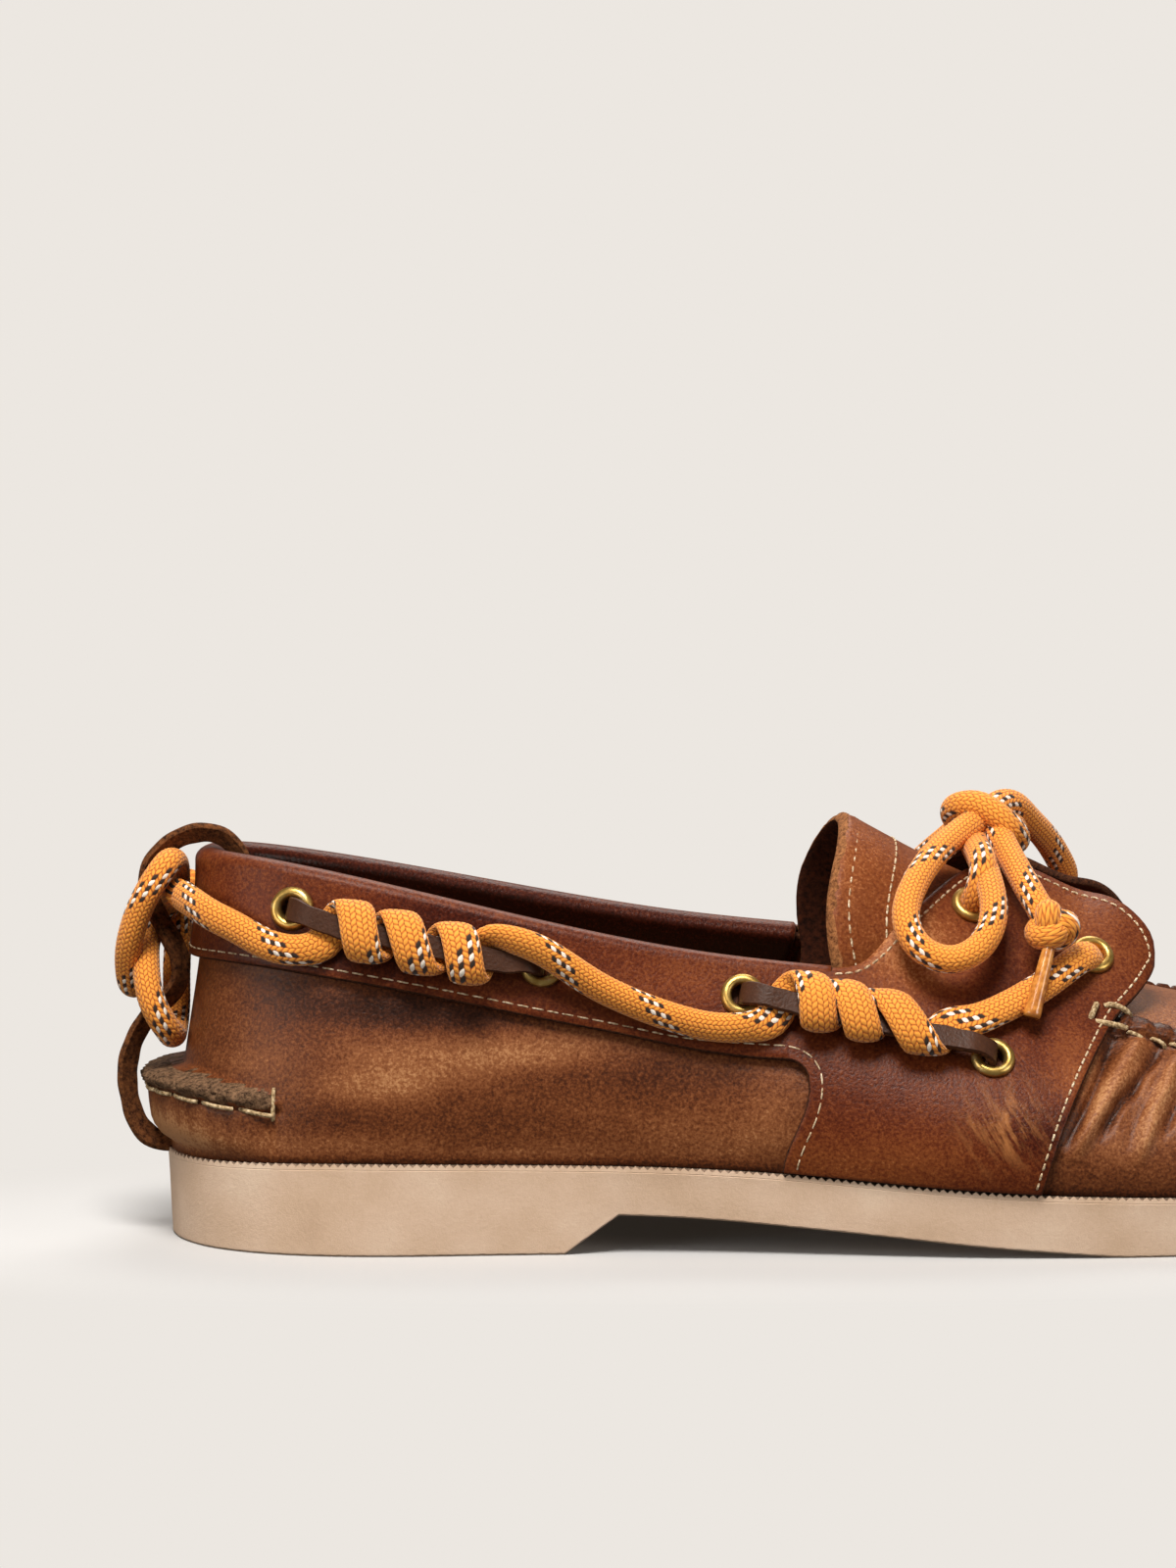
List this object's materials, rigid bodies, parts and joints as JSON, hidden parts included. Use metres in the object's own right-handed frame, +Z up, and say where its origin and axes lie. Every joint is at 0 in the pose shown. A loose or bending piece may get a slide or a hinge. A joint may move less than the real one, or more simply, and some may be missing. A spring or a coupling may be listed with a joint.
{
  "type": "camp moccasin loafer",
  "caption": "Right-foot leather camp moccasin with a rubber sole, a saddle, a stiff tongue and a cord lace wrapped along its sides and tied in a bow.",
  "frame": {"origin": "on the ground under the middle of the heel, 38 mm from the back of the sole", "axes": "+X to the toe, -Y to the outer side of the foot, +Z up"},
  "size_m": [0.3103, 0.1042, 0.0907],
  "materials": {
    "saddle_leather": "oiled pull-up",
    "upper_leather": "oiled pull-up",
    "thong_leather": "raw suede edges",
    "insole_leather": "matte",
    "sole_rubber": "matte crepe",
    "lace_cord": "braided",
    "aglet_film": "clear film over cord",
    "brass": "polished"
  },
  "bodies": {
    "root": {"aglet_inner": "aglet_film", "aglet_outer": "aglet_film", "bow_end_inner": "lace_cord", "bow_end_outer": "lace_cord", "bow_knot": "lace_cord", "bow_loop_inner": "lace_cord", "bow_loop_outer": "lace_cord", "eyelet_inner_1": "brass", "eyelet_inner_2": "brass", "eyelet_inner_3": "brass", "eyelet_inner_4": "brass", "eyelet_inner_5": "brass", "eyelet_inner_6": "brass", "eyelet_outer_1": "brass", "eyelet_outer_2": "brass", "eyelet_outer_3": "brass", "eyelet_outer_4": "brass", "eyelet_outer_5": "brass", "eyelet_outer_6": "brass", "insole": "insole_leather", "lace_heel": "lace_cord", "lace_inner": "lace_cord", "lace_outer": "lace_cord", "lace_throat_inner": "lace_cord", "lace_throat_outer": "lace_cord", "outsole": "sole_rubber", "saddle": "saddle_leather", "stopper_inner": "lace_cord", "stopper_outer": "lace_cord", "thong_heel": "thong_leather", "thong_inner_back": "thong_leather", "thong_inner_front": "thong_leather", "thong_outer_back": "thong_leather", "thong_outer_front": "thong_leather", "tongue": "saddle_leather", "upper": "upper_leather"}
  },
  "joints": []
}
